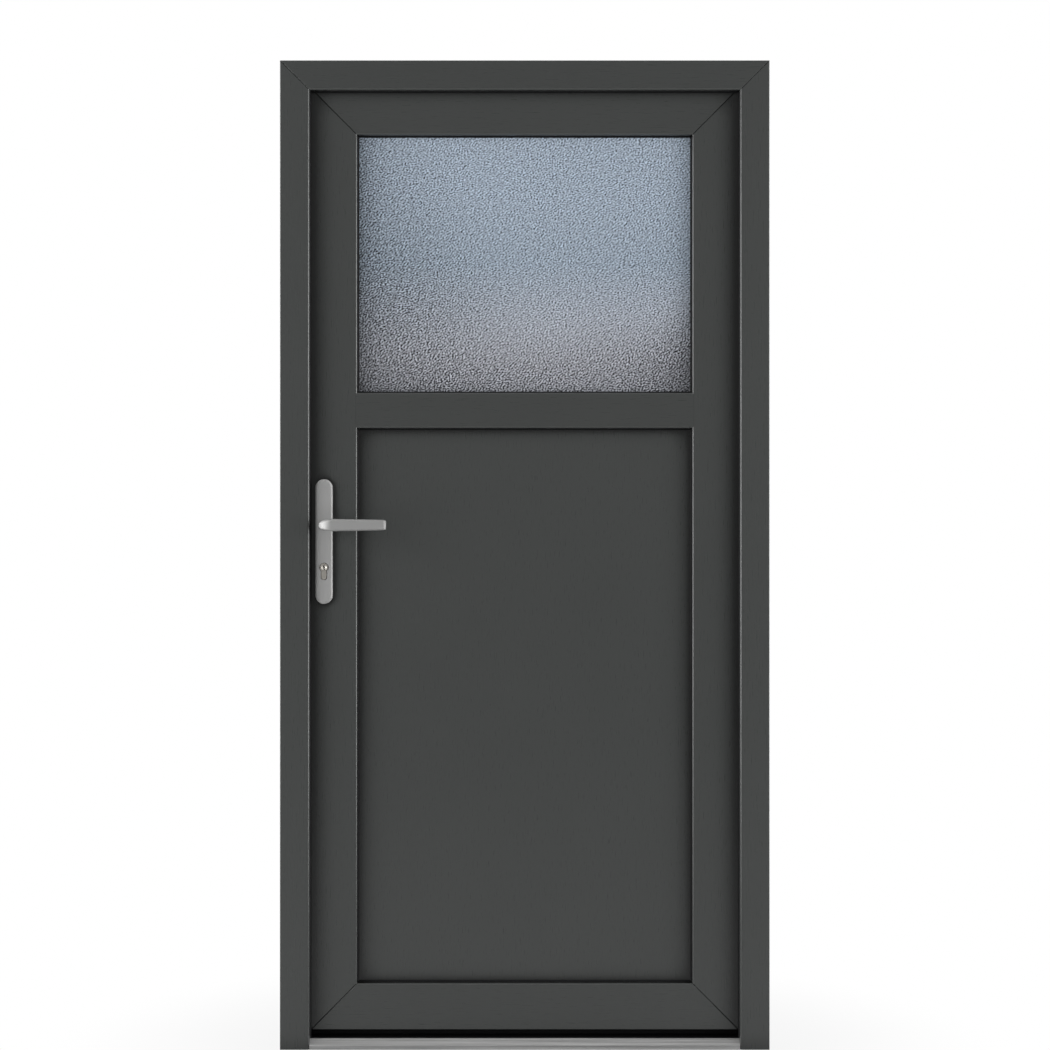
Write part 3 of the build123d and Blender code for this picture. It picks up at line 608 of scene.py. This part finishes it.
def add_floor():
    """A pale floor that shows as white to the camera and keeps the door's shadow."""
    mesh = bpy.data.meshes.new("floor")
    corners = [(x * FLOOR_REACH, y * FLOOR_REACH, 0) for x, y in ((-1, -1), (1, -1), (1, 1), (-1, 1))]
    mesh.from_pydata(corners, [], [(0, 1, 2, 3)])
    floor = bpy.data.objects.new("floor", mesh)
    scene.collection.objects.link(floor)
    mat = bpy.data.materials.new("floor_white")
    mat.use_nodes = True
    tree = mat.node_tree
    tree.nodes.clear()
    out = tree.nodes.new("ShaderNodeOutputMaterial")
    matt = tree.nodes.new("ShaderNodeBsdfDiffuse")
    matt.inputs["Color"].default_value = (FLOOR_GREY, FLOOR_GREY, FLOOR_GREY, 1)
    glow = tree.nodes.new("ShaderNodeEmission")
    glow.inputs["Strength"].default_value = 1.0
    place = tree.nodes.new("ShaderNodeTexCoord")
    reach = tree.nodes.new("ShaderNodeVectorMath")
    reach.operation = "LENGTH"
    tree.links.new(place.outputs["Object"], reach.inputs[0])
    white = spread(tree, reach.outputs["Value"], WHITE_NEAR, WHITE_FAR, NEAR_REACH, FAR_REACH)
    seen = calc(tree, "MULTIPLY", white, ray_share(tree, ["Is Camera Ray", "Is Transmission Ray"]))
    share = calc(tree, "MULTIPLY_ADD", ray_share(tree, ["Is Glossy Ray"]), FLOOR_GLOSS, seen)
    blend = tree.nodes.new("ShaderNodeMixShader")
    tree.links.new(share, blend.inputs[0])
    tree.links.new(matt.outputs[0], blend.inputs[1])
    tree.links.new(glow.outputs[0], blend.inputs[2])
    tree.links.new(blend.outputs[0], out.inputs[0])
    mesh.materials.append(mat)


def add_world():
    """A studio that is white to the camera, faint as light, and dim straight ahead in gloss."""
    world = bpy.data.worlds.new("studio")
    scene.world = world
    world.use_nodes = True
    tree = world.node_tree
    tree.nodes.clear()
    out = tree.nodes.new("ShaderNodeOutputWorld")
    backdrop = tree.nodes.new("ShaderNodeBackground")
    backdrop.inputs["Color"].default_value = (1, 1, 1, 1)
    level = tree.nodes.new("ShaderNodeMapRange")
    level.inputs["To Min"].default_value = WORLD_LIGHT
    level.inputs["To Max"].default_value = 1.0
    tree.links.new(ray_share(tree, ["Is Camera Ray", "Is Transmission Ray"]), level.inputs["Value"])
    way = tree.nodes.new("ShaderNodeTexCoord")
    split = tree.nodes.new("ShaderNodeSeparateXYZ")
    tree.links.new(way.outputs["Generated"], split.inputs[0])
    straight = spread(tree, calc(tree, "ABSOLUTE", split.outputs["Y"]), 1.0, STUDIO_DIM, 0.35, 0.85)
    above = spread(tree, split.outputs["Z"], 1.0, OVERHEAD_DIM, 0.5, 0.95)
    pick = tree.nodes.new("ShaderNodeMix")
    tree.links.new(ray_share(tree, ["Is Glossy Ray"]), pick.inputs["Factor"])
    tree.links.new(level.outputs["Result"], pick.inputs["A"])
    tree.links.new(calc(tree, "MULTIPLY", straight, above), pick.inputs["B"])
    tree.links.new(pick.outputs["Result"], backdrop.inputs["Strength"])
    tree.links.new(backdrop.outputs[0], out.inputs[0])


def area_light(name, place, target, size, power, mirrored=True):
    """A soft rectangular lamp that doesn't show through the glass, nor in gloss unless mirrored."""
    data = bpy.data.lights.new(name, "AREA")
    data.shape = "RECTANGLE"
    data.size, data.size_y = size
    data.energy = power
    lamp = bpy.data.objects.new(name, data)
    lamp.location = place
    aim = Vector(target) - Vector(place)
    lamp.rotation_euler = aim.to_track_quat("-Z", "Y").to_euler()
    lamp.visible_transmission = False
    lamp.visible_glossy = mirrored
    scene.collection.objects.link(lamp)


# A key softbox far to each side draws the edges, and a fill nearer the middle evens the faces
SOFTBOX = (1.95, 2.6)
LAMP_HEIGHT = 1.32
LAMP_DISTANCE = 3.55
KEY_ANGLE = math.radians(72)
FILL_ANGLE = math.radians(45)
OVERHEAD_PLACE = (0.0, -1.7, 3.6)
OVERHEAD_TARGET = (0, 0, 1.0)
OVERHEAD_SIZE = (1.6, 0.4)
OVERHEAD_POWER = 4.0
# Corner, its side and depth, and the power of its key and fill in watts
CORNERS = (
    ("front_left", -1, -1, 105.0, 36.0),
    ("front_right", 1, -1, 96.0, 34.0),
    ("back_left", -1, 1, 90.0, 30.0),
    ("back_right", 1, 1, 90.0, 30.0),
)

add_floor()
add_world()
for corner, side, depth, key, fill in CORNERS:
    for kind, angle, power in (("key", KEY_ANGLE, key), ("fill", FILL_ANGLE, fill)):
        x = side * LAMP_DISTANCE * math.sin(angle)
        y = depth * LAMP_DISTANCE * math.cos(angle)
        target = (0, 0, LAMP_HEIGHT)
        area_light(f"{corner}_{kind}", (x, y, LAMP_HEIGHT), target, SOFTBOX, power, kind == "key")
area_light("overhead", OVERHEAD_PLACE, OVERHEAD_TARGET, OVERHEAD_SIZE, OVERHEAD_POWER)

scene.view_settings.view_transform = "Standard"
